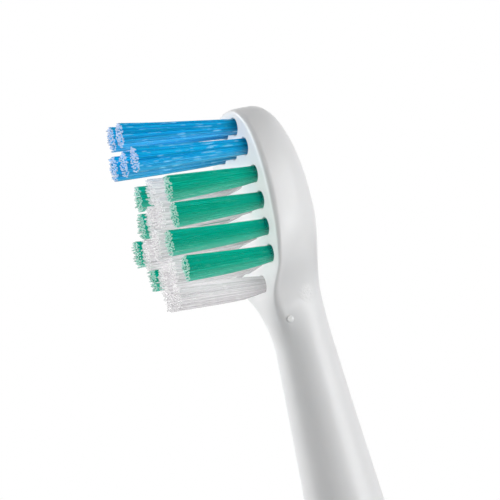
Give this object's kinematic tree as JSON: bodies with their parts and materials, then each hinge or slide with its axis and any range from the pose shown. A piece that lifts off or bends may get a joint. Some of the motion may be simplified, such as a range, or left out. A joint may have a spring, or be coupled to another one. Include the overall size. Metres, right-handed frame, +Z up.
{
  "type": "electric toothbrush head",
  "caption": "Replacement head for a sonic toothbrush: a flared hollow neck with a shaft socket, and an egg-shaped plate with tufts of blue, green and clear bristles.",
  "frame": {"origin": "on the axis of the shaft's hole, at the lower face of the foot", "axes": "+Z up the shaft to the tip, bristles towards -Y, +X to the side that is nearer in the picture"},
  "size_m": [0.0136, 0.0208, 0.0753],
  "materials": {
    "body": "satin white, slightly translucent moulding",
    "socket": "plain grey moulding",
    "spring": "bright spring strip",
    "anchor": "plain metal",
    "filament_blue": "translucent blue nylon",
    "filament_green": "translucent green nylon",
    "filament_clear": "clear to milky nylon"
  },
  "bodies": {
    "root": {"head_body": "body", "shaft_socket": "socket", "spring_clip": "spring", "anchors": "anchor", "tuft_blue_1": "filament_blue", "tuft_blue_2": "filament_blue", "tuft_blue_3": "filament_blue", "tuft_blue_4": "filament_blue", "tuft_blue_5": "filament_blue", "tuft_green_1": "filament_green", "tuft_green_2": "filament_green", "tuft_green_3": "filament_green", "tuft_green_4": "filament_green", "tuft_green_5": "filament_green", "tuft_green_6": "filament_green", "tuft_green_7": "filament_green", "tuft_green_8": "filament_green", "tuft_clear_1": "filament_clear", "tuft_clear_2": "filament_clear", "tuft_clear_3": "filament_clear", "tuft_clear_4": "filament_clear", "tuft_clear_5": "filament_clear", "tuft_clear_6": "filament_clear", "tuft_clear_7": "filament_clear", "tuft_clear_8": "filament_clear", "tuft_clear_9": "filament_clear"}
  },
  "joints": []
}
